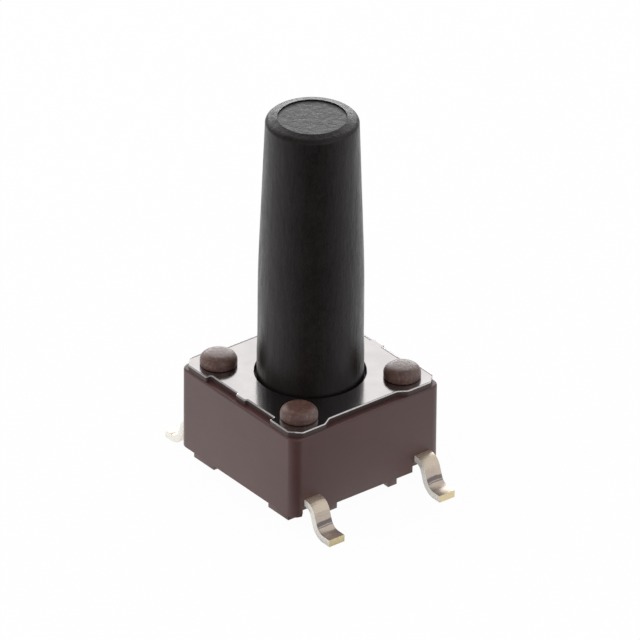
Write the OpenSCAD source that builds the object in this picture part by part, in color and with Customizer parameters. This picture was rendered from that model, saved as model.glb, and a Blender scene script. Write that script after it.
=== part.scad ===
// Surface-mount tactile push switch, 6 mm square body with a tall tapered stem.
// Origin at the centre of the body on the board's surface, +Z up, leads along X.
// All lengths are in millimetres.

/* [Body] */
// Width of the square body
body_w = 6; // [5.8:0.1:8]
// Height of the moulded base from its underside to the cover's seat
base_h = 2.9; // [2.8:0.1:4]
// Radius of the body's upright corners
corner_r = 0.35; // [0.2:0.05:0.6]
// Height of the body's underside above the board
standoff = 0.55; // [0.4:0.05:1]
// Thickness of the wall round the inner well, at the middle of a side
wall_t = 0.55; // [0.45:0.05:0.6]

/* [Pads under the body] */
// Height of a side pad
side_pad_h = 0.15; // [0.1:0.05:0.3]
// Length of a side pad
side_pad_l = 1.05; // [0.6:0.05:1.2]
// Width of a side pad, inwards from the body's side
side_pad_w = 0.6; // [0.3:0.05:0.9]
// Distance from the middle of a side pad near a lead to the body's side
side_pad_end = 0.8; // [0.7:0.05:0.95]
// Distance from the middle of the other side pad to the body's side
side_pad_far_end = 1.3; // [1.2:0.05:1.8]
// Height of a small pad on a lead side
end_pad_h = 0.2; // [0.1:0.05:0.3]
// Length of a small pad
end_pad_l = 0.36; // [0.2:0.02:0.5]
// Width of a small pad, inwards from the body's side
end_pad_w = 0.25; // [0.2:0.05:0.5]
// Distance from the middle of a small pad beside a lead to the body's plain side
end_pad_end = 1.6; // [1.55:0.05:1.8]
// Distance from the middle of the other small pad to the body's plain side
end_pad_far_end = 1.96; // [1.9:0.02:2.4]

/* [Cover plate] */
// Thickness of the stamped plate
cover_t = 0.2; // [0.15:0.05:0.3]
// Margin between the plate's edge and the body's side
cover_margin = 0.05; // [0.02:0.01:0.12]
// Leg of the plate's cut corners
cover_chamfer = 0.35; // [0.25:0.05:0.45]
// Depth of the notches in the middle of the plate's sides
notch_depth = 0.2; // [0.1:0.02:0.24]
// Distance from a square-ended notch to the plate's edge, on the sides without leads
side_notch_end = 1.3; // [1.15:0.05:1.6]
// Distance from the bottom of a slope-ended notch to the plate's edge, on the lead sides
lead_notch_end = 1.575; // [1.45:0.025:1.9]
// Run of a notch's sloped end along the side
notch_slope = 0.32; // [0.1:0.02:0.4]
// Distance from the stem's hole to the body's side
hole_margin = 1.2; // [1.15:0.05:1.4]
// Width of the carrier stub left in a square-ended notch
stub_w = 0.5; // [0.3:0.05:0.8]
// Height of the carrier stub
stub_h = 0.1; // [0.04:0.02:0.1]

/* [Rivets] */
// Distance from a rivet's axis to the body's sides
rivet_inset = 0.9; // [0.85:0.01:1]
// Diameter of a rivet's shank
shank_d = 0.8; // [0.6:0.05:0.9]
// Gap round a shank in the plate's hole
shank_gap = 0.04; // [0.02:0.01:0.08]
// Diameter of the flattened rivet head
head_d = 1.22; // [1.1:0.02:1.4]
// Height of the head above the plate
head_h = 0.42; // [0.36:0.02:0.6]
// Radius of the head's upper edge
head_top_r = 0.18; // [0.1:0.01:0.2]
// Radius of the head's lower edge
head_low_r = 0.12; // [0.05:0.01:0.14]

/* [Stem] */
// Height of the stem's top above the board
total_h = 13; // [12:0.1:16]
// Radial gap between the guide land and the hole's edge
guide_gap = 0.07; // [0.05:0.01:0.1]
// Height of the guide land above the plate
guide_rise = 0.8; // [0.5:0.1:1.5]
// Height of the slope from the guide land to the straight part
guide_slope = 0.6; // [0.55:0.05:1]
// Radial step from the guide land to the straight part
guide_step = 0.02; // [0.01:0.01:0.05]
// Height above the plate at which the taper starts
taper_rise = 3.75; // [2:0.05:6]
// Radial step from the straight part to the taper's upper end
taper_in = 0.2; // [0.15:0.01:0.3]
// Width of the rounding along the stem's upper edge
top_edge_w = 0.36; // [0.2:0.02:0.5]
// Height of the rounding along the stem's upper edge
top_edge_h = 0.2; // [0.1:0.02:0.4]
// Width of the flat rim between the rounding and the shallow recess in the top
rim_w = 0.03; // [0.02:0.01:0.2]
// Depth of the recess
recess_depth = 0.04; // [0.03:0.01:0.1]

/* [Inside] */
// Thickness of the flange that holds the stem under the plate
flange_t = 0.5; // [0.4:0.05:0.6]
// Gap between the flange and the wall of the well
flange_gap = 0.2; // [0.1:0.05:0.25]
// Gap between the flange and the plate at rest
rest_gap = 0.02; // [0.01:0.01:0.05]
// Diameter of the stem's boss below the flange
boss_d = 2.2; // [1.6:0.1:2.6]
// Diameter of the nub that presses the dome
nub_d = 1; // [0.6:0.1:1.4]
// Height of the nub
nub_h = 0.3; // [0.2:0.05:0.4]
// Width of the ledge between the dome's seat and the wider well
seat_ledge = 0.45; // [0.35:0.05:0.6]
// Thickness of the snap dome
dome_t = 0.08; // [0.05:0.01:0.1]
// Travel from rest to contact
travel = 0.25; // [0.15:0.01:0.3]
// Gap between the dome's edge and its seat
dome_gap = 0.1; // [0.05:0.05:0.2]
// Depth of the dome's seat below the wider well
seat_depth = 0.5; // [0.4:0.05:0.6]
// Gap between the nub and the dome at rest
nub_gap = 0.02; // [0.01:0.01:0.04]

/* [Leads and contacts] */
// Distance from the middle of a lead to the body's plain side
lead_inset = 0.75; // [0.7:0.05:0.8]
// Width of a lead
lead_w = 0.63; // [0.5:0.01:0.7]
// Thickness of the contact strip
lead_t = 0.25; // [0.15:0.01:0.26]
// Height of the strip's underside above the body's underside
lead_lift = 0.35; // [0.3:0.05:0.4]
// Distance from the body's side to the start of the lead's upper bend
lead_out = 0.07; // [0.04:0.01:0.2]
// Lean of the lead's leg from the upright
lead_lean = 20; // [15:1:35]
// Inner radius of the lead's upper bend
upper_bend_r = 0.24; // [0.1:0.01:0.26]
// Inner radius of the lead's lower bend
lower_bend_r = 0.36; // [0.1:0.01:0.38]
// Length of the lead's flat foot
foot_l = 0.31; // [0.2:0.01:0.8]
// Gap beside a lead in its pocket
pocket_gap = 0.08; // [0.04:0.02:0.1]
// Depth of the pocket under a lead
pocket_depth = 0.3; // [0.15:0.05:0.4]
// Plastic over the strips at the bottom of the well
skin_t = 0.1; // [0.05:0.01:0.12]
// Height of the contact faces above the bottom of the well
contact_proud = 0.02; // [0.01:0.01:0.03]
// Diameter of the centre contact
centre_contact_d = 0.9; // [0.7:0.05:1.1]
// Diameter of the two outer contacts
outer_contact_d = 0.5; // [0.4:0.05:0.6]
// Wall left round the hollow under a drawn contact
contact_wall = 0.1; // [0.08:0.01:0.12]
// Width of the tongues that carry the contacts
tongue_w = 0.7; // [0.65:0.05:0.8]

/* [Hidden] */
$fn = 64;

half = body_w / 2;
base_top = standoff + base_h;
cover_top = base_top + cover_t;
cover_half = half - cover_margin;
rivet_at = half - rivet_inset;
hole_r = half - hole_margin;
lead_y = half - lead_inset;

strip_low = standoff + lead_lift;
strip_top = strip_low + lead_t;
floor_z = strip_top + skin_t;
contact_z = floor_z + contact_proud;
contact_rise = contact_z - strip_top;

well_r = half - wall_t;
seat_r = well_r - seat_ledge;
dome_r = seat_r - dome_gap;
dome_sphere_r = (dome_r * dome_r + travel * travel) / (2 * travel);
dome_centre_z = contact_z + travel - dome_sphere_r;
dome_top = contact_z + travel + dome_t;
seat_top = floor_z + seat_depth;

guide_r = hole_r - guide_gap;
stem_r = guide_r - guide_step;
top_r = stem_r - taper_in;
recess_r = top_r - top_edge_w - rim_w;
flange_r = well_r - flange_gap;
flange_top = base_top - rest_gap;
flange_low = flange_top - flange_t;
nub_low = dome_top + nub_gap;
boss_low = nub_low + nub_h;
outer_contact_x = dome_r - outer_contact_d / 2;

strip_mid = strip_low + lead_t / 2;
bend_turn = 90 - lead_lean;
bend_drop = (upper_bend_r + lower_bend_r + lead_t) * (1 - cos(bend_turn));
leg_length = (strip_low - bend_drop) / sin(bend_turn);
// Overlap and overshoot that keep joined solids joined and cuts clean
joint_lap = 0.2;
overshoot = 1;

// Turns a shape half a turn, as the body's two ends repeat
module both_ends() {
    children();
    rotate([0, 0, 180]) children();
}

// Places a shape on the four rivet axes
module at_rivets() {
    for (sx = [-1, 1], sy = [-1, 1])
        translate([sx * rivet_at, sy * rivet_at, 0])
            children();
}

// Square with true round corners
module rounded_square(w, r) {
    square([w - 2 * r, w], center = true);
    square([w, w - 2 * r], center = true);
    for (sx = [-1, 1], sy = [-1, 1])
        translate([sx * (w / 2 - r), sy * (w / 2 - r)])
            circle(r);
}

// Half section of a disc with rounded lower and upper edges
module pillow_profile(r, h, r_low, r_top) {
    square([r - max(r_low, r_top), h]);
    translate([0, r_low])
        square([r, h - r_low - r_top]);
    square([r - r_low, r_low]);
    translate([0, h - r_top])
        square([r - r_top, r_top]);
    intersection() {
        union() {
            translate([r - r_low, r_low])
                circle(r_low);
            translate([r - r_top, h - r_top])
                circle(r_top);
        }
        square([r, h]);
    }
}

// Run of strip of the given length, starting at the origin along X
module flat_run(length) {
    translate([0, 0, -lead_t / 2])
        cube([length, lead_w, lead_t]);
}

// Bend of the strip with the given inner radius, over the given stretch of angles
module bend(r, from, turn) {
    translate([0, lead_w, 0])
        rotate([90, 0, 0])
            rotate([0, 0, from])
                rotate_extrude(angle = turn)
                    translate([r, 0])
                        square([lead_t, lead_w]);
}

// Strip that bends down from the origin, and what follows its bend
module bend_down() {
    mid_r = upper_bend_r + lead_t / 2;
    translate([0, 0, -mid_r]) {
        bend(upper_bend_r, 90 - bend_turn, bend_turn);
        rotate([0, bend_turn, 0])
            translate([0, 0, mid_r])
                children();
    }
}

// Strip that bends back up from the origin, and what follows its bend
module bend_up() {
    mid_r = lower_bend_r + lead_t / 2;
    translate([0, 0, mid_r]) {
        bend(lower_bend_r, 270, bend_turn);
        rotate([0, -bend_turn, 0])
            translate([0, 0, -mid_r])
                children();
    }
}

// One gull-wing lead on the +X side at the given place along Y
module lead(y) {
    stub = joint_lap + lead_out;
    translate([half - joint_lap, y - lead_w / 2, strip_mid]) {
        flat_run(stub);
        translate([stub, 0, 0])
            bend_down() {
                flat_run(leg_length);
                translate([leg_length, 0, 0])
                    bend_up()
                        flat_run(foot_l);
            }
    }
}

// Straight run of strip from side to side, with a lead at each end
module strip_with_leads(y) {
    translate([-half, y - lead_w / 2, strip_low])
        cube([body_w, lead_w, lead_t]);
    lead(y);
    mirror([1, 0, 0])
        lead(y);
}

// Contact face drawn up out of the strip
module drawn_contact(d) {
    translate([0, 0, strip_top])
        cylinder(d = d, h = contact_rise);
}

// Hollow under a drawn contact
module contact_hollow(d) {
    translate([0, 0, strip_low - overshoot])
        cylinder(d = d - 2 * contact_wall, h = overshoot + contact_rise);
}

// Stamped strip with the centre contact on its tongue
module centre_terminal() {
    color([0.78, 0.72, 0.64])
        difference() {
            union() {
                strip_with_leads(lead_y);
                translate([-tongue_w / 2, 0, strip_low])
                    cube([tongue_w, lead_y, lead_t]);
                translate([0, 0, strip_low])
                    cylinder(d = centre_contact_d + 2 * contact_wall, h = lead_t);
                drawn_contact(centre_contact_d);
            }
            contact_hollow(centre_contact_d);
        }
}

// Stamped strip with the two outer contacts on their arms
module outer_terminal() {
    color([0.78, 0.72, 0.64])
        difference() {
            union() {
                strip_with_leads(-lead_y);
                for (side = [-1, 1])
                    translate([side * outer_contact_x, 0, 0]) {
                        translate([-tongue_w / 2, -lead_y, strip_low])
                            cube([tongue_w, lead_y, lead_t]);
                        translate([0, 0, strip_low])
                            cylinder(d = tongue_w, h = lead_t);
                        drawn_contact(outer_contact_d);
                    }
            }
            for (side = [-1, 1])
                translate([side * outer_contact_x, 0, 0])
                    contact_hollow(outer_contact_d);
        }
}

// Thin sprung disc that snaps onto the centre contact
module contact_dome() {
    color([0.8, 0.79, 0.77])
        rotate_extrude()
            intersection() {
                translate([0, dome_centre_z])
                    difference() {
                        circle(dome_sphere_r + dome_t, $fn = 180);
                        circle(dome_sphere_r, $fn = 180);
                    }
                translate([0, contact_z])
                    square([dome_r, travel + 2 * dome_t]);
            }
}

// Pads on the underside, repeated half a turn round
module pads() {
    both_ends() {
        for (x = [side_pad_far_end - half, half - side_pad_end])
            translate([x - side_pad_l / 2, -half, standoff - side_pad_h])
                cube([side_pad_l, side_pad_w, side_pad_h + joint_lap]);
        for (y = [end_pad_end - half, half - end_pad_far_end])
            translate([half - end_pad_w, y - end_pad_l / 2, standoff - end_pad_h])
                cube([end_pad_w, end_pad_l, end_pad_h + joint_lap]);
    }
}

// Pocket in the base's side under each lead
module lead_pockets() {
    pocket_w = lead_w + 2 * pocket_gap;
    for (sx = [-1, 1], sy = [-1, 1])
        translate([
            sx * (half + (overshoot - pocket_depth) / 2) - (overshoot + pocket_depth) / 2,
            sy * lead_y - pocket_w / 2,
            standoff - overshoot
        ])
            cube([overshoot + pocket_depth, pocket_w, overshoot + lead_lift]);
}

// Moulded base with its well, pads and the four rivets that hold the plate
module base() {
    color([0.36, 0.29, 0.28])
        difference() {
            union() {
                translate([0, 0, standoff])
                    linear_extrude(base_h)
                        rounded_square(body_w, corner_r);
                pads();
                at_rivets() {
                    translate([0, 0, base_top - joint_lap])
                        cylinder(d = shank_d, h = cover_t + joint_lap + head_h / 2);
                    translate([0, 0, cover_top])
                        rotate_extrude()
                            pillow_profile(head_d / 2, head_h, head_low_r, head_top_r);
                }
            }
            translate([0, 0, floor_z])
                cylinder(r = seat_r, h = base_h);
            translate([0, 0, seat_top])
                cylinder(r = well_r, h = base_h);
            lead_pockets();
            centre_terminal();
            outer_terminal();
        }
}

// Plan of the plate before its holes
module cover_outline() {
    notch_in = cover_half - notch_depth;
    side_notch = cover_half - side_notch_end;
    lead_notch = cover_half - lead_notch_end;
    difference() {
        intersection() {
            square(2 * cover_half, center = true);
            rotate(45)
                square((2 * cover_half - cover_chamfer) * sqrt(2), center = true);
        }
        for (side = [-1, 1]) {
            translate([-side_notch, side > 0 ? notch_in : -notch_in - overshoot])
                square([2 * side_notch, overshoot]);
            scale([side, 1])
                polygon([
                    [notch_in, -lead_notch],
                    [cover_half, -lead_notch - notch_slope],
                    [cover_half + overshoot, -lead_notch - notch_slope],
                    [cover_half + overshoot, lead_notch + notch_slope],
                    [cover_half, lead_notch + notch_slope],
                    [notch_in, lead_notch]
                ]);
        }
    }
    square([stub_w, 2 * (notch_in + stub_h)], center = true);
}

// Stamped steel plate with the stem's hole and four rivet holes
module cover_plate() {
    color([0.8, 0.8, 0.8])
        difference() {
            translate([0, 0, base_top])
                linear_extrude(cover_t)
                    cover_outline();
            translate([0, 0, base_top - overshoot])
                cylinder(r = hole_r, h = cover_t + 2 * overshoot);
            at_rivets()
                translate([0, 0, base_top - overshoot])
                    cylinder(d = shank_d + 2 * shank_gap, h = cover_t + 2 * overshoot);
        }
}

// Half section of the stem, from the nub under the dome's side to the top
module stem_profile() {
    guide_top = cover_top + guide_rise;
    taper_z = cover_top + taper_rise;
    edge_r = top_r - top_edge_w;
    edge_z = total_h - top_edge_h;
    polygon([
        [0, nub_low],
        [nub_d / 2, nub_low],
        [nub_d / 2, boss_low],
        [boss_d / 2, boss_low],
        [boss_d / 2, flange_low],
        [flange_r, flange_low],
        [flange_r, flange_top],
        [guide_r, flange_top],
        [guide_r, guide_top],
        [stem_r, guide_top + guide_slope],
        [stem_r, taper_z],
        [top_r, edge_z],
        [edge_r, edge_z],
        [edge_r, total_h],
        [recess_r, total_h],
        [recess_r, total_h - recess_depth],
        [0, total_h - recess_depth]
    ]);
    translate([edge_r, edge_z])
        intersection() {
            scale([top_edge_w, top_edge_h])
                circle(1);
            square([top_edge_w, top_edge_h]);
        }
}

// Moulded stem, turned about its axis
module stem() {
    color([0.13, 0.12, 0.12])
        rotate_extrude($fn = 96)
            stem_profile();
}

base();
centre_terminal();
outer_terminal();
contact_dome();
stem();
cover_plate();
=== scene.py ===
from math import cos, pi, radians, sin

import bmesh
import bpy
from mathutils import Matrix, Vector


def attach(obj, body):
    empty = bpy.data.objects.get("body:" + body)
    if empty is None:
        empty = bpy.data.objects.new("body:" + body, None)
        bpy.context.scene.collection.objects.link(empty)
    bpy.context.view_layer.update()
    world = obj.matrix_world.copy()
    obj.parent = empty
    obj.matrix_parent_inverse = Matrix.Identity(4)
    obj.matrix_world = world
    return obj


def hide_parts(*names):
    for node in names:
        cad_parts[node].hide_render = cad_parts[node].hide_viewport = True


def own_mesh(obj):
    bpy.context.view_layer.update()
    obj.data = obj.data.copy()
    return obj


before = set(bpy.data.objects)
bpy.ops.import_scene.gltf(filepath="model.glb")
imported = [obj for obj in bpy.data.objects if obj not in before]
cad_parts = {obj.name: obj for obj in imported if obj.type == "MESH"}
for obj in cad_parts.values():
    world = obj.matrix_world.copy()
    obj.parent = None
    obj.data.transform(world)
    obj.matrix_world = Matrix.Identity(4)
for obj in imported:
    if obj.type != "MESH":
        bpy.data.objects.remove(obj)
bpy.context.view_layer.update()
print("frame loaded")

mm = 0.001  # pieces are shaped in millimetres and brought to metres at the end
hair = 1e-4  # lengths below this many millimetres count as none
corners = [(sx, sy) for sx in (-1, 1) for sy in (-1, 1)]


# mesh helpers

def newPiece(name, bm, material, node, body, sharpAngle=40):
    bmesh.ops.recalc_face_normals(bm, faces=bm.faces[:])
    bmesh.ops.scale(bm, vec=(mm, mm, mm), verts=bm.verts[:])
    mesh = bpy.data.meshes.new(name)
    bm.to_mesh(mesh)
    bm.free()
    mesh.shade_smooth()
    mesh.set_sharp_from_angle(angle=radians(sharpAngle))
    mesh.materials.append(material)
    piece = bpy.data.objects.new(name, mesh)
    bpy.context.scene.collection.objects.link(piece)
    # keeps flat faces flat beside their fillets
    tidy = piece.modifiers.new("evenNormals", "WEIGHTED_NORMAL")
    tidy.keep_sharp = True
    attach(piece, body)
    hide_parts(node)
    return piece


def uprightEdges(bm):
    return [e for e in bm.edges if abs(e.verts[0].co.z - e.verts[1].co.z) > hair]


def rimEdges(bm, z):
    # edges at one height that border an upright wall
    return [e for e in bm.edges if all(abs(v.co.z - z) < hair for v in e.verts) and
            any(abs(f.normal.z) < 0.1 for f in e.link_faces)]


def roundEdges(bm, edges, offset, segments):
    return bmesh.ops.bevel(bm, geom=edges, offset=offset, offset_type="OFFSET", segments=segments,
                           profile=0.5, affect="EDGES", material=-1, clamp_overlap=True)


def block(size, centre, radius=0.0, segments=2):
    bm = bmesh.new()
    bmesh.ops.create_cube(bm, size=1)
    bmesh.ops.scale(bm, vec=size, verts=bm.verts[:])
    bmesh.ops.translate(bm, vec=centre, verts=bm.verts[:])
    if radius:
        roundEdges(bm, bm.edges[:], radius, segments)
    return bm


def turned(profile, steps, centre=(0, 0)):
    # spins a half section of (radius, height) points about an upright axis
    bm = bmesh.new()
    points = [bm.verts.new((r, 0, z)) for r, z in profile]
    edges = [bm.edges.new(pair) for pair in zip(points, points[1:])]
    bmesh.ops.spin(bm, geom=points + edges, cent=(0, 0, 0), axis=(0, 0, 1), dvec=(0, 0, 0),
                   angle=2 * pi, steps=steps, use_merge=True)
    bmesh.ops.remove_doubles(bm, verts=bm.verts[:], dist=hair)
    bmesh.ops.recalc_face_normals(bm, faces=bm.faces[:])
    bmesh.ops.translate(bm, vec=(*centre, 0), verts=bm.verts[:])
    return bm


def arc(centre, radii, start, end, count):
    # points of an elliptical arc in a half section, angles in degrees
    angles = [radians(start + (end - start) * i / count) for i in range(count + 1)]
    return [(centre[0] + radii[0] * cos(a), centre[1] + radii[1] * sin(a)) for a in angles]


def joined(bm, other):
    mesh = bpy.data.meshes.new("joining")
    other.to_mesh(mesh)
    other.free()
    bm.from_mesh(mesh)
    bpy.data.meshes.remove(mesh)


def carved(bm, cutters):
    # takes each cutter's shape out of the piece
    def asObject(name, part):
        mesh = bpy.data.meshes.new(name)
        part.to_mesh(mesh)
        part.free()
        made = bpy.data.objects.new(name, mesh)
        bpy.context.scene.collection.objects.link(made)
        return made

    piece = asObject("carving", bm)
    tools = [asObject("cutter", cutter) for cutter in cutters]
    for tool in tools:
        cut = piece.modifiers.new("cut", "BOOLEAN")
        cut.operation = "DIFFERENCE"
        cut.solver = "EXACT"
        cut.object = tool
    bpy.context.view_layer.update()
    shaped = piece.evaluated_get(bpy.context.evaluated_depsgraph_get())
    result = bmesh.new()
    result.from_mesh(shaped.to_mesh())
    shaped.to_mesh_clear()
    for made in [piece] + tools:
        mesh = made.data
        bpy.data.objects.remove(made)
        bpy.data.meshes.remove(mesh)
    return result


# shader helpers

class Link:
    # a shader socket on which plain arithmetic makes Math nodes
    def __init__(self, maker, socket):
        self.maker, self.socket = maker, socket

    def maths(self, operation, first, second):
        return self.maker.node("ShaderNodeMath", {"operation": operation}, {0: first, 1: second})

    def __add__(self, other):
        return self.maths("ADD", self, other)

    def __sub__(self, other):
        return self.maths("SUBTRACT", self, other)

    def __rsub__(self, other):
        return self.maths("SUBTRACT", other, self)

    def __mul__(self, other):
        return self.maths("MULTIPLY", self, other)

    def __pow__(self, other):
        return self.maths("POWER", self, other)

    def __abs__(self):
        return (self * self) ** 0.5

    def __gt__(self, other):
        return self.maths("GREATER_THAN", self, other)

    def __lt__(self, other):
        return self.maths("LESS_THAN", self, other)

    def least(self, other):
        return self.maths("MINIMUM", self, other)

    def most(self, other):
        return self.maths("MAXIMUM", self, other)


class Shader:
    # makes the nodes of one material or world
    def __init__(self, owner):
        owner.use_nodes = True
        self.tree = owner.node_tree
        self.tree.nodes.clear()

    def node(self, kind, settings, inputs, output=0):
        made = self.tree.nodes.new(kind)
        for name, value in settings.items():
            setattr(made, name, value)
        for name, value in inputs.items():
            socket = made.inputs[name]
            if isinstance(value, Link):
                self.tree.links.new(value.socket, socket)
            elif isinstance(value, tuple) and len(value) == 3 and len(socket.default_value) == 4:
                socket.default_value = (*value, 1)
            else:
                socket.default_value = value
        return Link(self, made.outputs[output]) if made.outputs else None

    def place(self, stretch=(1, 1, 1)):
        # object coordinates in millimetres; a stretch repeats a pattern that much more often along X, Y and Z
        where = self.node("ShaderNodeTexCoord", {}, {}, "Object")
        scale = tuple(s / mm for s in stretch)
        return self.node("ShaderNodeMapping", {}, {"Vector": where, "Scale": scale})

    def axes(self, vector):
        return [self.node("ShaderNodeSeparateXYZ", {}, {"Vector": vector}, name) for name in "XYZ"]

    def noise(self, where, scale, detail, rough=0.5):
        inputs = {"Vector": where, "Scale": scale, "Detail": detail, "Roughness": rough}
        return self.node("ShaderNodeTexNoise", {}, inputs, "Fac")

    def span(self, value, low, high, start=0.0, end=1.0):
        # brings low..high to start..end, held at both ends
        return self.node("ShaderNodeMapRange", {"clamp": True}, {
            "Value": value, "From Min": low, "From Max": high, "To Min": start, "To Max": end})

    def within(self, value, low, high, soft):
        # one between low and high, with a soft change inside each end
        return self.span(value, low, low + soft) * self.span(value, high, high - soft)

    def blend(self, factor, first, second):
        # 6, 7 and output 2 are the node's colour sockets
        return self.node("ShaderNodeMix", {"data_type": "RGBA"}, {0: factor, 6: first, 7: second}, 2)

    def bump(self, height, strength, depth):
        # depth in millimetres
        inputs = {"Height": height, "Strength": strength, "Distance": depth * mm}
        return self.node("ShaderNodeBump", {}, inputs)

    def surface(self, inputs):
        made = self.node("ShaderNodeBsdfPrincipled", {}, inputs)
        self.node("ShaderNodeOutputMaterial", {}, {"Surface": made})


def newMaterial(name):
    material = bpy.data.materials.new(name)
    return material, Shader(material)


# materials

# a noise is given by its scale, detail and roughness; a pair ending in At is where a change starts and ends

glossAt = (0.3, 0.7)


def brownMoulding():
    look = {
        "colour": (0.090, 0.032, 0.029), "dark": (0.074, 0.026, 0.024), "colourAt": (0.34, 0.62),
        "broad": (0.9, 3.0), "grain": (7.0, 3.0, 0.6),
        "flow": (2.2, 4.0, 0.6), "flowStretch": (0.5, 0.5, 2.2),
        "gloss": (0.38, 0.46), "shine": 1.0, "bump": (0.4, 0.02),
        "headZ": 3.652, "pressed": (0.100, 0.044, 0.035), "polish": 0.4, "polishRough": 0.5,
        "flecks": (15.0, 3.0, 0.7), "fleck": (0.21, 0.11, 0.075), "fleckAt": (0.48, 0.68),
        "flutes": (9.0, 2.0, 0.6), "flutesStretch": (1.0, 1.0, 0.12),
    }
    material, make = newMaterial("brownMoulding")
    where = make.place()
    z = make.axes(where)[2]
    broad = make.noise(where, *look["broad"])
    flow = make.noise(make.place(look["flowStretch"]), *look["flow"])
    grain = make.noise(where, *look["grain"])
    mottle = make.span(broad * 0.6 + flow * 0.3 + grain * 0.1, *look["colourAt"])
    body = make.blend(mottle, look["dark"], look["colour"])
    # the rivet heads are pressed hot, which leaves their sides fluted and their tops flecked
    head = z > look["headZ"]
    flutes = make.noise(make.place(look["flutesStretch"]), *look["flutes"])
    flecks = make.noise(where, *look["flecks"])
    flecked = make.span(flutes * 0.4 + flecks * 0.6, *look["fleckAt"])
    colour = make.blend(head, body, make.blend(flecked, look["pressed"], look["fleck"]))
    rough = make.span(flow * 0.6 + grain * 0.4, *glossAt, *look["gloss"])
    height = (grain * 0.15 + flow * 0.2) * (1 - head) + (flutes + flecks * 0.25) * head
    make.surface({"Base Color": colour, "Roughness": rough, "Normal": make.bump(height, *look["bump"]),
                  "Specular IOR Level": look["shine"], "Coat Weight": head * look["polish"],
                  "Coat Roughness": look["polishRough"]})
    return material


def blackMoulding():
    look = {
        "colour": (0.0098, 0.0064, 0.0069), "pale": (0.0165, 0.0112, 0.0114), "colourAt": (0.36, 0.66),
        "broad": (1.1, 3.0), "mottle": (5.5, 4.0, 0.62),
        "streaks": (4.5, 4.0, 0.65), "streaksStretch": (1.0, 1.0, 0.22),
        "gloss": (0.30, 0.46), "glossAt": (0.36, 0.64), "shine": 0.5, "bump": (0.6, 0.03),
    }
    material, make = newMaterial("blackMoulding")
    where = make.place()
    broad = make.noise(where, *look["broad"])
    mottle = make.noise(where, *look["mottle"])
    streaks = make.noise(make.place(look["streaksStretch"]), *look["streaks"])
    pale = make.span(broad * 0.4 + mottle * 0.6, *look["colourAt"])
    colour = make.blend(pale, look["colour"], look["pale"])
    rough = make.span(mottle * 0.3 + streaks * 0.7, *look["glossAt"], *look["gloss"])
    normal = make.bump(mottle * 0.4 + streaks * 0.9, *look["bump"])
    make.surface({"Base Color": colour, "Roughness": rough, "Normal": normal,
                  "Specular IOR Level": look["shine"]})
    return material


def brightSteel():
    look = {
        "colour": (0.475, 0.452, 0.452), "pale": (0.515, 0.488, 0.488), "colourAt": (0.35, 0.65),
        "rolled": (3.0, 3.0, 0.6), "rolledStretch": (0.25, 6.0, 1.0), "cloud": (1.6, 3.0),
        "gloss": (0.12, 0.18), "bump": (0.05, 0.003),
        "paintedSideShade": (0.078, 0.054, 0.052), "tornRough": 0.3, "tornDull": 0.7,
        "rimHighlight": (0.88, 0.84, 0.84), "rimHighlightLeft": (0.46, 0.43, 0.43), "rimHighlightMatte": (0.5, 0.75),
        "rimHighlightBreakup": (6.0, 3.0, 0.6), "rimHighlightBreakupStretch": (1.0, 1.0, 0.2), "rimHighlightBreakupAt": (0.4, 0.6),
        "drawn": (0.22, 0.205, 0.205),
        "border": 2.72, "farBorder": 2.86, "notch": 0.2, "notchX": 1.65, "notchY": 1.5, "stub": 0.27,
        "rimZ": 3.612, "faceZ": 3.646,
    }
    material, make = newMaterial("brightSteel")
    where = make.place()
    x, y, z = make.axes(where)
    rolled = make.noise(make.place(look["rolledStretch"]), *look["rolled"])
    cloud = make.noise(where, *look["cloud"])
    face = make.blend(make.span(cloud, *look["colourAt"]), look["colour"], look["pale"])
    # painted light on the plate's edges: the side face the die tears is coloured dark as painted shade, with
    # the roughness and lower metal of a sheared edge; the front rims are coloured pale as a painted
    # highlight, dimmer on the left; the far border is coloured grey as painted shade
    wide, deep = abs(x), abs(y)
    border = wide.most(deep).most((wide + deep) * 0.5) > look["border"]
    side = look["rimZ"] > z
    rim = border * (look["faceZ"] > z) * (z > look["rimZ"])
    farX = (deep < look["notchY"]) * look["notch"] - x
    farY = (wide < look["notchX"]) * (wide > look["stub"]) * look["notch"] + y
    back = farX.most(farY) > look["farBorder"]
    # painted highlight: the front rims are coloured pale, dimmer on the left side, standing in for the light
    # they catch
    rimHighlight = make.blend(x + y > 0, look["rimHighlightLeft"], look["rimHighlight"])
    colour = make.blend(rim, face, rimHighlight)
    # painted shade: the far border of the plate's face and rim is coloured grey
    colour = make.blend(back * (1 - side), colour, look["drawn"])
    # painted shade: the side face is coloured dark reddish; its added roughness and lower metal are the rough
    # sheared edge
    colour = make.blend(side, colour, look["paintedSideShade"])
    rough = make.span(rolled * 0.5 + cloud * 0.5, *glossAt, *look["gloss"]) + side * look["tornRough"]
    rimHighlightBreakup = make.noise(make.place(look["rimHighlightBreakupStretch"]), *look["rimHighlightBreakup"])
    # noise breaks the painted highlight up and lowers the rims' metal, so that its colour shows
    dull = make.span(rimHighlightBreakup, *look["rimHighlightBreakupAt"], *look["rimHighlightMatte"])
    metal = 1 - side * look["tornDull"] - rim * (1 - back) * dull
    make.surface({"Base Color": colour, "Metallic": metal, "Roughness": rough,
                  "Normal": make.bump(rolled, *look["bump"])})
    return material


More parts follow.
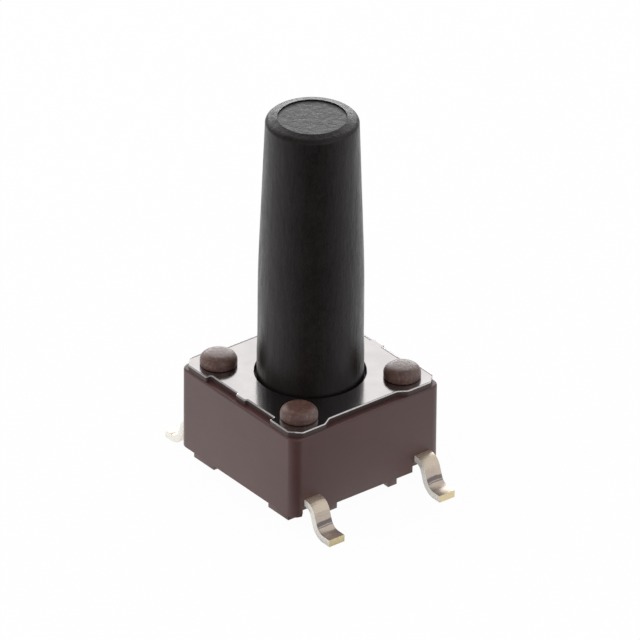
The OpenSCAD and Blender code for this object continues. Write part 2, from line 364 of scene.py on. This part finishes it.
def tinnedBrass():
    look = {
        "tin": (0.97, 0.83, 0.67), "warm": (0.82, 0.69, 0.60), "tinAbove": (0.78, 0.86), "tinWaver": 0.3,
        "cloud": (3.2, 3.0), "cloudAt": (0.4, 0.6),
        "drawn": (2.5, 3.0, 0.6), "drawnStretch": (0.4, 6.0, 0.4),
        "creased": (3.4, 3.0, 0.6), "creasedStretch": (1.0, 0.12, 3.0),
        "dull": (0.30, 0.26, 0.25), "band": (3.62, 3.72, 0.015), "line": (3.675, 3.70, 0.01),
        "bandWaver": 0.05, "lineBright": 0.8,
        "side": (0.96, 0.93, 0.86), "leadY": 2.25, "halfWidth": 0.305, "sideDull": 0.6,
        "brass": (1.0, 0.85, 0.52), "cutX": 4.292, "cutDull": 0.5, "cutRough": 0.25,
        "metal": 0.8, "gloss": (0.22, 0.34), "bump": (0.5, 0.02),
    }
    material, make = newMaterial("tinnedBrass")
    where = make.place()
    x, y, z = make.axes(where)
    along = abs(x)
    cut = along > look["cutX"]
    side = abs(abs(y) - look["leadY"]) > look["halfWidth"]
    drawn = make.noise(make.place(look["drawnStretch"]), *look["drawn"])
    creased = make.noise(make.place(look["creasedStretch"]), *look["creased"])
    cloud = make.noise(where, *look["cloud"])
    upper = make.span(z + (creased - 0.5) * look["tinWaver"], *look["tinAbove"])
    plated = make.blend(upper * 0.8 + make.span(cloud, *look["cloudAt"]) * 0.2, look["warm"], look["tin"])
    # the bending tool leaves a dull band with a bright line across the inside of the lower bend
    place = along + (cloud - 0.5) * look["bandWaver"]
    band, line = make.within(place, *look["band"]), make.within(place, *look["line"])
    plated = make.blend(band * (1 - line * look["lineBright"]), plated, look["dull"])
    # painted reflection: the lead's side faces are coloured near white, with their metal lowered, standing in
    # for the white they mirror
    colour = make.blend(side, plated, look["side"])
    colour = make.blend(cut, colour, look["brass"])
    rough = make.span(drawn * 0.5 + cloud * 0.5, *glossAt, *look["gloss"]) + cut * look["cutRough"]
    normal = make.bump(drawn * 0.3 + creased * 1.2 + cloud * 0.3, *look["bump"])
    metal = look["metal"] - (side * look["sideDull"]).most(cut * look["cutDull"])
    make.surface({"Base Color": colour, "Metallic": metal, "Roughness": rough, "Normal": normal})
    return material


def springSteel():
    look = {
        "colour": (0.62, 0.61, 0.60), "pale": (0.70, 0.69, 0.67), "colourAt": (0.35, 0.65),
        "rolled": (3.0, 3.0, 0.6), "rolledStretch": (8.0, 0.3, 1.0), "cloud": (4.0, 2.0),
        "gloss": (0.20, 0.32), "bump": (0.2, 0.004),
    }
    material, make = newMaterial("springSteel")
    rolled = make.noise(make.place(look["rolledStretch"]), *look["rolled"])
    cloud = make.noise(make.place(), *look["cloud"])
    colour = make.blend(make.span(rolled, *look["colourAt"]), look["colour"], look["pale"])
    rough = make.span(cloud, *glossAt, *look["gloss"])
    make.surface({"Base Color": colour, "Metallic": 1.0, "Roughness": rough,
                  "Normal": make.bump(rolled, *look["bump"])})
    return material


brown, black, steel = brownMoulding(), blackMoulding(), brightSteel()
tin, spring = tinnedBrass(), springSteel()
print("materials made")


# moulded base with its rivets and pads

def makeBase():
    size = {
        "width": 6.0, "bottom": 0.55, "top": 3.45, "corner": 0.35, "edge": 0.07, "lowEdge": 0.015,
        "well": 2.45, "wellFloor": 1.75, "seat": 2.0, "seatFloor": 1.25, "cutTop": 4.5,
        "leadY": 2.25, "pocket": (0.6, 0.79, 1.0), "pocketDepth": 0.3, "pocketTop": 0.90,
        "sidePad": (1.05, 0.6, 0.15), "sidePadX": (-1.7, 2.2), "endPad": (0.25, 0.36, 0.2),
        "endPadY": (-1.4, 1.04), "padRoot": 0.15, "padEdge": 0.015, "padInset": 0.004,
        "rivet": 2.1, "shank": 0.4, "shankLow": 3.3, "head": 0.61, "headLow": 3.65, "headTop": 4.07,
        "lip": 0.05, "crown": (0.34, 0.25), "crownDrop": 0.26, "crownArc": 82,
        "flatRings": ((0.2, 0.006), (0.1, 0.002), (0, 0)),
    }
    half, bottom, top = size["width"] / 2, size["bottom"], size["top"]
    body = block((size["width"], size["width"], top - bottom), (0, 0, (top + bottom) / 2))
    roundEdges(body, uprightEdges(body), size["corner"], 8)
    for z, radius in ((top, size["edge"]), (bottom, size["lowEdge"])):
        roundEdges(body, rimEdges(body, z), radius, 3)

    seat, well, cutTop = size["seat"], size["well"], size["cutTop"]
    hollow = turned([(0, size["seatFloor"]), (seat, size["seatFloor"]), (seat, size["wellFloor"]),
                     (well, size["wellFloor"]), (well, cutTop), (0, cutTop)], 72)
    pocketX = half + size["pocket"][0] / 2 - size["pocketDepth"]
    pocketZ = size["pocketTop"] - size["pocket"][2] / 2
    pockets = [block(size["pocket"], (sx * pocketX, sy * size["leadY"], pocketZ)) for sx, sy in corners]
    body = carved(body, [hollow] + pockets)

    def pad(shape, x, y):
        length, width, drop = shape
        root = size["padRoot"]
        return block((length, width, drop + root), (x, y, bottom + (root - drop) / 2), size["padEdge"])

    side, end = size["sidePad"], size["endPad"]
    wall = half - size["padInset"]  # just behind the wall, so no faces coincide
    for turn in (1, -1):
        for x in size["sidePadX"]:
            joined(body, pad(side, turn * x, turn * (side[1] / 2 - wall)))
        for y in size["endPadY"]:
            joined(body, pad(end, turn * (wall - end[0] / 2), turn * y))

    low, high, head, lip = size["headLow"], size["headTop"], size["head"], size["lip"]
    crown = size["crown"]
    section = ([(0, size["shankLow"]), (size["shank"], size["shankLow"]), (size["shank"], low)]
               + arc((head - lip, low + lip), (lip, lip), -90, 0, 4)
               + arc((head - crown[0], high - size["crownDrop"]), crown, 0, size["crownArc"], 10)
               + [(r, high - drop) for r, drop in size["flatRings"]])
    for sx, sy in corners:
        joined(body, turned(section, 48, (sx * size["rivet"], sy * size["rivet"])))
    return newPiece("baseMoulding", body, brown, "base", "housing")


makeBase()
print("base made")


# stamped cover plate

def makeCover():
    size = {
        "half": 2.95, "chamfer": 0.35, "notch": 0.2, "sideNotch": 1.65, "leadNotch": 1.375, "slope": 0.32,
        "stub": (0.25, 0.1), "bottom": 3.45, "top": 3.65, "corner": 0.05, "edge": 0.04,
        "hole": 1.80, "rivet": 2.1, "rivetHole": 0.44, "drill": (3, 4), "sharp": 12,
    }
    half, cut, inner = size["half"], size["half"] - size["chamfer"], size["half"] - size["notch"]
    stubX, stubY = size["stub"]
    sideX, leadY = size["sideNotch"], size["leadNotch"]
    oneSide = [
        (-cut, -half), (-sideX, -half), (-sideX, -inner), (-stubX, -inner), (-stubX, -inner - stubY),
        (stubX, -inner - stubY), (stubX, -inner), (sideX, -inner), (sideX, -half), (cut, -half),
        (half, -cut), (half, -leadY - size["slope"]), (inner, -leadY), (inner, leadY),
        (half, leadY + size["slope"]), (half, cut),
    ]
    outline = oneSide + [(-x, -y) for x, y in oneSide]
    plate = bmesh.new()
    under = plate.faces.new([plate.verts.new((x, y, size["bottom"])) for x, y in outline])
    raised = bmesh.ops.extrude_face_region(plate, geom=[under])["geom"]
    bmesh.ops.translate(plate, vec=(0, 0, size["top"] - size["bottom"]),
                        verts=[g for g in raised if isinstance(g, bmesh.types.BMVert)])
    bmesh.ops.recalc_face_normals(plate, faces=plate.faces[:])
    roundEdges(plate, uprightEdges(plate), size["corner"], 3)

    def drill(r, steps, centre=(0, 0)):
        low, high = size["drill"]
        return turned([(0, low), (r, low), (r, high), (0, high)], steps, centre)

    rivetX = size["rivet"]
    rivetHoles = [drill(size["rivetHole"], 40, (sx * rivetX, sy * rivetX)) for sx, sy in corners]
    plate = carved(plate, [drill(size["hole"], 128)] + rivetHoles)
    roundEdges(plate, rimEdges(plate, size["top"]), size["edge"], 3)
    return newPiece("coverPlate", plate, steel, "cover_plate", "housing", size["sharp"])


makeCover()
print("cover made")


# turned push stem

def makeStem():
    size = {
        "nub": 0.5, "nubLow": 1.62, "nubEdge": 0.1, "boss": 1.1, "bossLow": 1.92, "edge": 0.06,
        "flange": 2.25, "flangeLow": 2.93, "flangeTop": 3.43,
        "guide": 1.73, "guideTop": 4.45, "straight": 1.71, "straightLow": 5.05,
        "taperLow": 7.40, "taperTop": 12.79, "taperSoft": 0.9, "taperRings": (9.5, 11.0, 12.2),
        "top": 13.0, "topRadius": 1.51, "rim": (0.36, 0.2), "rimArc": (3, 43),
        "rimRings": ((0.2, 0.052), (0.1, 0.026), (0, 0)),
        "recess": 1.12, "recessDepth": 0.04, "recessSlope": 0.003, "recessRing": 0.6,
    }
    nub, boss, flange, straight = size["nub"], size["boss"], size["flange"], size["straight"]
    slope = (straight - size["topRadius"]) / (size["taperTop"] - size["taperLow"])
    # the straight part eases into the taper over a length of twice taperSoft
    ease, count = size["taperSoft"], 8
    soft = []
    for i in range(count + 1):
        z = -ease + 2 * ease * i / count
        soft.append((straight - slope * (z + ease) ** 2 / (4 * ease), size["taperLow"] + z))
    n, f = size["nubEdge"], size["edge"]
    floor = size["top"] - size["recessDepth"]
    section = (
        [(0, size["nubLow"])]
        + arc((nub - n, size["nubLow"] + n), (n, n), -90, 0, 4)
        + [(nub, size["bossLow"])]
        + arc((boss - f, size["bossLow"] + f), (f, f), -90, 0, 3)
        + [(boss, size["flangeLow"])]
        + arc((flange - f, size["flangeLow"] + f), (f, f), -90, 0, 3)
        + arc((flange - f, size["flangeTop"] - f), (f, f), 0, 90, 3)
        + [(size["guide"], size["flangeTop"]), (size["guide"], size["guideTop"]),
           (straight, size["straightLow"])]
        + soft
        + [(straight - slope * (z - size["taperLow"]), z) for z in size["taperRings"]]
        + arc((size["topRadius"] - size["rim"][0], size["taperTop"]), size["rim"], *size["rimArc"], 8)
        + [(size["recess"] + out, size["top"] - drop) for out, drop in size["rimRings"]]
        + [(size["recess"] - size["recessSlope"], floor), (size["recessRing"], floor), (0, floor)]
    )
    return newPiece("pushStem", turned(section, 160), black, "stem", "plunger")


makeStem()
print("stem made")


# stamped and bent terminals

def onlyEdges(geometry):
    return [g for g in geometry if isinstance(g, bmesh.types.BMEdge)]


def orderedRing(front):
    # verts of a closed ring of edges, one after another
    edges = onlyEdges(front)
    ring = [edges[0].verts[0], edges[0].verts[1]]
    while len(ring) < len(edges):
        step = next(e for e in edges if ring[-1] in e.verts and ring[-2] not in e.verts)
        ring.append(step.other_vert(ring[-1]))
    return ring


def leadStrip(y):
    # one strip with a lead at each end; the bend radii are those of the strip's middle
    size = {
        "width": 0.63, "thick": 0.25, "low": 0.90, "out": 3.07, "upperBend": 0.365, "lowerBend": 0.485,
        "turn": 70, "foot": 0.31, "edge": 0.025, "tipEdge": 0.012,
    }
    mid = size["low"] + size["thick"] / 2
    upper, lower, turn = size["upperBend"], size["lowerBend"], radians(size["turn"])
    leg = (size["low"] - (upper + lower) * (1 - cos(turn))) / sin(turn)
    strip = bmesh.new()
    ring = [(-1, -1), (1, -1), (1, 1), (-1, 1)]
    face = strip.faces.new([strip.verts.new((0, y + a * size["width"] / 2, mid + b * size["thick"] / 2))
                            for a, b in ring])
    bmesh.ops.bevel(strip, geom=face.verts[:], offset=size["edge"], offset_type="OFFSET", segments=2,
                    profile=0.5, affect="VERTICES", material=-1, clamp_overlap=True)
    bmesh.ops.delete(strip, geom=strip.faces[:], context="FACES_ONLY")
    front = strip.verts[:] + strip.edges[:]

    def run(vector):
        # straight stretch of the strip
        made = bmesh.ops.extrude_edge_only(strip, edges=onlyEdges(front))["geom"]
        verts = [g for g in made if isinstance(g, bmesh.types.BMVert)]
        bmesh.ops.translate(strip, vec=vector, verts=verts)
        return verts + onlyEdges(made)

    def turnAbout(centre, angle):
        # bent stretch, about an axis along Y
        made = bmesh.ops.spin(strip, geom=front, cent=centre, axis=(0, 1, 0), dvec=(0, 0, 0),
                              angle=angle, steps=10, use_merge=False)
        return made["geom_last"]

    for _ in range(2):
        front = run((size["out"] / 2, 0, 0))
    front = turnAbout((size["out"], y, mid - upper), turn)
    front = run((leg * cos(turn), 0, -leg * sin(turn)))
    bendX = size["out"] + (upper + lower) * sin(turn) + leg * cos(turn)
    front = turnAbout((bendX, y, lower + size["thick"] / 2), -turn)
    front = run((size["foot"], 0, 0))
    tip = strip.faces.new(orderedRing(front))
    roundEdges(strip, tip.edges[:], size["tipEdge"], 2)
    other = strip.copy()
    bmesh.ops.scale(other, vec=(-1, 1, 1), verts=other.verts[:])
    bmesh.ops.reverse_faces(other, faces=other.faces[:])
    joined(strip, other)
    bmesh.ops.remove_doubles(strip, verts=strip.verts[:], dist=hair)
    return strip


def makeTerminals():
    size = {
        "low": 0.90, "top": 1.15, "leadY": 2.25, "tongue": 0.7, "tongueEdge": 0.02,
        "centre": 0.45, "outer": 0.25, "outerX": 1.65, "contactTop": 1.27, "contactEdge": 0.04,
        "wall": 0.1, "hollow": 1.17,
    }
    low, top, high, hollow = size["low"], size["top"], size["contactTop"], size["hollow"]

    def contact(r, x):
        wall, edge = size["wall"], size["contactEdge"]
        rim = arc((r - edge, high - edge), (edge, edge), 0, 90, 3)
        return turned([(r - wall, low), (r + wall, low), (r + wall, top), (r, top)] + rim
                      + [(0, high), (0, hollow), (r - wall, hollow), (r - wall, low)], 40, (x, 0))

    def tongue(x, side, reach):
        start, end = sorted((side * reach, side * size["leadY"]))
        return block((size["tongue"], end - start, top - low), (x, (start + end) / 2, (low + top) / 2),
                     size["tongueEdge"], 1)

    centre = leadStrip(size["leadY"])
    joined(centre, tongue(0, 1, size["centre"]))
    joined(centre, contact(size["centre"], 0))
    newPiece("centreTerminal", centre, tin, "centre_terminal", "housing")
    outer = leadStrip(-size["leadY"])
    for x in (-size["outerX"], size["outerX"]):
        joined(outer, tongue(x, -1, size["outer"]))
        joined(outer, contact(size["outer"], x))
    newPiece("outerTerminal", outer, tin, "outer_terminal", "housing")


makeTerminals()
print("terminals made")


# contact dome: the frame's own solid, which the stem flattens onto the contacts

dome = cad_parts["contact_dome"]
dome.data.materials.clear()
dome.data.materials.append(spring)
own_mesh(dome)
print("dome dressed")


# floor, sky, lamps and camera

# in reflections the white round the object falls off to dark on the camera's side, as the photograph's
# gloss shows; the pairs ending in At are parts of a unit vector toward the sky
studio = {
    "darkSide": 58, "worldLevel": 0.7,
    "floor": 3.0, "floorGrey": (0.9, 0.9, 0.9), "floorWhite": 0.97, "floorSoft": 0.01, "shift": 4.0,
    "nearWhite": 0.0, "farWhite": 1.13,
    "skySoft": 0.001, "farSky": 1.54, "farAt": (0.4, 0.8), "riseAt": (0.0, 0.4), "fadeAt": (0.56, 0.78),
    "dimSky": (0.25, 0.10), "dimAt": (0.3, 0.9), "rightSky": 0.56, "rightAt": (0.15, 0.5),
}

# from = azimuth and elevation in degrees, size and distance in metres, level = brightness of white
# facing it, mirrored = seen in reflections
lamps = {
    "leftBack": {"from": (300, 45), "size": (0.24, 0.24), "level": 0.20, "mirrored": False},
    "lowBack": {"from": (232, 13), "size": (0.20, 0.05), "level": 0.27, "mirrored": True},
    "leftSoft": {"from": (-25, 25), "size": (0.20, 0.20), "level": 0.12, "mirrored": False},
}
lampAim, lampDistance = Vector((0, 0, 0.004)), 0.30


def seenFrom(azimuth, elevation):
    # unit vector toward a viewer, angles in radians
    return Vector((sin(azimuth) * cos(elevation), -cos(azimuth) * cos(elevation), sin(elevation)))


def makeLamps():
    for name, lamp in lamps.items():
        back = seenFrom(*(radians(v) for v in lamp["from"]))
        data = bpy.data.lights.new(name, "AREA")
        data.shape = "RECTANGLE"
        data.size, data.size_y = lamp["size"]
        data.energy = lamp["level"] * pi * pi * lampDistance ** 2
        made = bpy.data.objects.new(name, data)
        made.location = lampAim + back * lampDistance
        made.rotation_euler = (-back).to_track_quat("-Z", "Y").to_euler()
        made.visible_glossy = lamp["mirrored"]
        bpy.context.scene.collection.objects.link(made)


def seenBy(make):
    # one for the camera's own rays, and one for rays that a surface mirrors or lets through
    camera, glossy, clear = (make.node("ShaderNodeLightPath", {}, {}, kind)
                             for kind in ("Is Camera Ray", "Is Glossy Ray", "Is Transmission Ray"))
    return camera, (glossy + clear).least(1.0)


def towardCamera(axes):
    side = radians(studio["darkSide"])
    x, y, _ = axes
    return x * sin(side) - y * cos(side), x * cos(side) + y * sin(side)


def overLength(value, near, across, soft):
    return value * (near * near + across * across + soft) ** -0.5


def makeFloor():
    bm = bmesh.new()
    bmesh.ops.create_circle(bm, cap_ends=True, segments=64, radius=studio["floor"])
    mesh = bpy.data.meshes.new("floor")
    bm.to_mesh(mesh)
    bm.free()
    floor = bpy.data.objects.new("floor", mesh)
    bpy.context.scene.collection.objects.link(floor)
    material, make = newMaterial("paleFloor")
    camera, mirrored = seenBy(make)
    near, across = towardCamera(make.axes(make.place()))
    near = near - studio["shift"]
    middle = (studio["nearWhite"] + studio["farWhite"]) / 2
    swing = (studio["farWhite"] - studio["nearWhite"]) / 2
    sheet = middle - overLength(near * swing, near, across, studio["floorSoft"])
    glow = camera + mirrored * sheet
    diffuse = make.node("ShaderNodeBsdfDiffuse", {}, {"Color": studio["floorGrey"]})
    white = make.node("ShaderNodeEmission", {}, {"Color": (1, 1, 1), "Strength": glow})
    factor = camera * studio["floorWhite"] + mirrored
    mixed = make.node("ShaderNodeMixShader", {}, {0: factor, 1: diffuse, 2: white})
    make.node("ShaderNodeOutputMaterial", {}, {"Surface": mixed})
    floor.data.materials.append(material)


def makeSky():
    world = bpy.data.worlds.new("studio")
    bpy.context.scene.world = world
    make = Shader(world)
    camera, mirrored = seenBy(make)
    axes = make.axes(make.node("ShaderNodeTexCoord", {}, {}, "Generated"))
    near, across = towardCamera(axes)
    high = axes[2]
    # bright above the far side, middling on the right and dim elsewhere
    lean = overLength(0 - near, near, across, studio["skySoft"])
    band = make.span(high, *studio["riseAt"]) * make.span(high, *studio["fadeAt"], 1.0, 0.0)
    far = make.span(lean, *studio["farAt"]) * band * studio["farSky"]
    dim = make.span(high, *studio["dimAt"], *studio["dimSky"])
    shown = far.most(make.span(across, *studio["rightAt"], dim, studio["rightSky"]))
    level = camera + mirrored * shown + (1 - camera - mirrored) * studio["worldLevel"]
    light = make.node("ShaderNodeBackground", {}, {"Color": (1, 1, 1), "Strength": level})
    make.node("ShaderNodeOutputWorld", {}, {"Surface": light})


def makeCamera():
    # fitted to the photograph's own edges: angles in degrees, lengths in millimetres
    shot = {
        "azimuth": 51.716, "elevation": 30.595, "roll": 0.492, "distance": 437.265, "pixelsPerMm": 31.199,
        "right": 0.297, "up": -0.043, "aimZ": 5.55, "frame": 640, "sensor": 36,
    }
    az, el, roll = (radians(shot[k]) for k in ("azimuth", "elevation", "roll"))
    back = seenFrom(az, el)
    level = Vector((cos(az), sin(az), 0))
    upright = back.cross(level)
    right = level * cos(roll) + upright * sin(roll)
    up = upright * cos(roll) - level * sin(roll)
    place = Vector((0, 0, shot["aimZ"])) + right * shot["right"] + up * shot["up"] + back * shot["distance"]
    data = bpy.data.cameras.new("camera")
    data.sensor_width = shot["sensor"]
    data.lens = shot["pixelsPerMm"] * shot["distance"] * shot["sensor"] / shot["frame"]
    data.clip_start, data.clip_end = 0.01, 20  # metres
    camera = bpy.data.objects.new("camera", data)
    camera.matrix_world = Matrix.Translation(place * mm) @ Matrix((right, up, back)).transposed().to_4x4()
    bpy.context.scene.collection.objects.link(camera)
    bpy.context.scene.camera = camera


makeLamps()
makeFloor()
makeSky()
makeCamera()
bpy.context.scene.view_settings.view_transform = "Standard"
print("studio made")
